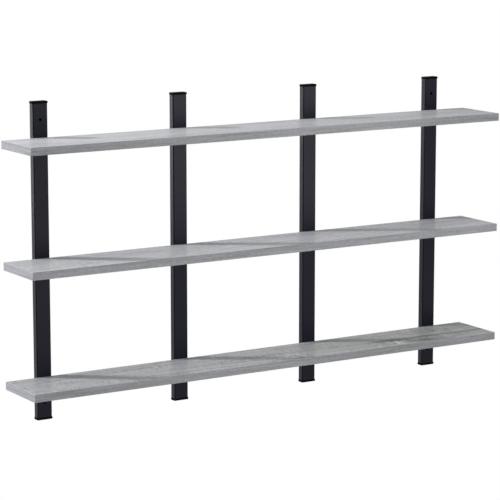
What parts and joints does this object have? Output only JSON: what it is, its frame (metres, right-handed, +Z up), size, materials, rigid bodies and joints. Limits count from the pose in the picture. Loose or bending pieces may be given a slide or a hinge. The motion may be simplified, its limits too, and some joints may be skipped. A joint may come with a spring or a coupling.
{
  "type": "wall shelf",
  "caption": "Wall-hung shelf unit: long wood-decor boards bolted to the front of capped black steel tube uprights that lie flat on the wall and are screwed to it.",
  "frame": {"origin": "centre of the four wall-screw holes, in the wall plane that the backs of the uprights lie on", "axes": "+X along the boards to the right as seen from the front, +Y into the wall, +Z up"},
  "size_m": [1.045, 0.137, 0.6],
  "materials": {
    "oak_decor": "matt decor, long grain",
    "oak_band": "matt decor edge band",
    "black_powder_coat": "satin fine-textured powder coat",
    "black_plastic": "moulded, matt",
    "zinc_steel": "bright zinc plate"
  },
  "bodies": {
    "root": {"upright_1": "black_powder_coat", "upright_1_top_cap": "black_plastic", "upright_1_bottom_cap": "black_plastic", "upright_2": "black_powder_coat", "upright_2_top_cap": "black_plastic", "upright_2_bottom_cap": "black_plastic", "upright_3": "black_powder_coat", "upright_3_top_cap": "black_plastic", "upright_3_bottom_cap": "black_plastic", "upright_4": "black_powder_coat", "upright_4_top_cap": "black_plastic", "upright_4_bottom_cap": "black_plastic", "shelf_top_core": "oak_decor", "shelf_top_front_band": "oak_band", "shelf_top_rear_band": "oak_band", "shelf_top_left_band": "oak_band", "shelf_top_right_band": "oak_band", "shelf_top_bolts": "zinc_steel", "shelf_top_washers": "zinc_steel", "shelf_top_barrel_nuts": "zinc_steel", "shelf_middle_core": "oak_decor", "shelf_middle_front_band": "oak_band", "shelf_middle_rear_band": "oak_band", "shelf_middle_left_band": "oak_band", "shelf_middle_right_band": "oak_band", "shelf_middle_bolts": "zinc_steel", "shelf_middle_washers": "zinc_steel", "shelf_middle_barrel_nuts": "zinc_steel", "shelf_bottom_core": "oak_decor", "shelf_bottom_front_band": "oak_band", "shelf_bottom_rear_band": "oak_band", "shelf_bottom_left_band": "oak_band", "shelf_bottom_right_band": "oak_band", "shelf_bottom_bolts": "zinc_steel", "shelf_bottom_washers": "zinc_steel", "shelf_bottom_barrel_nuts": "zinc_steel"}
  },
  "joints": []
}
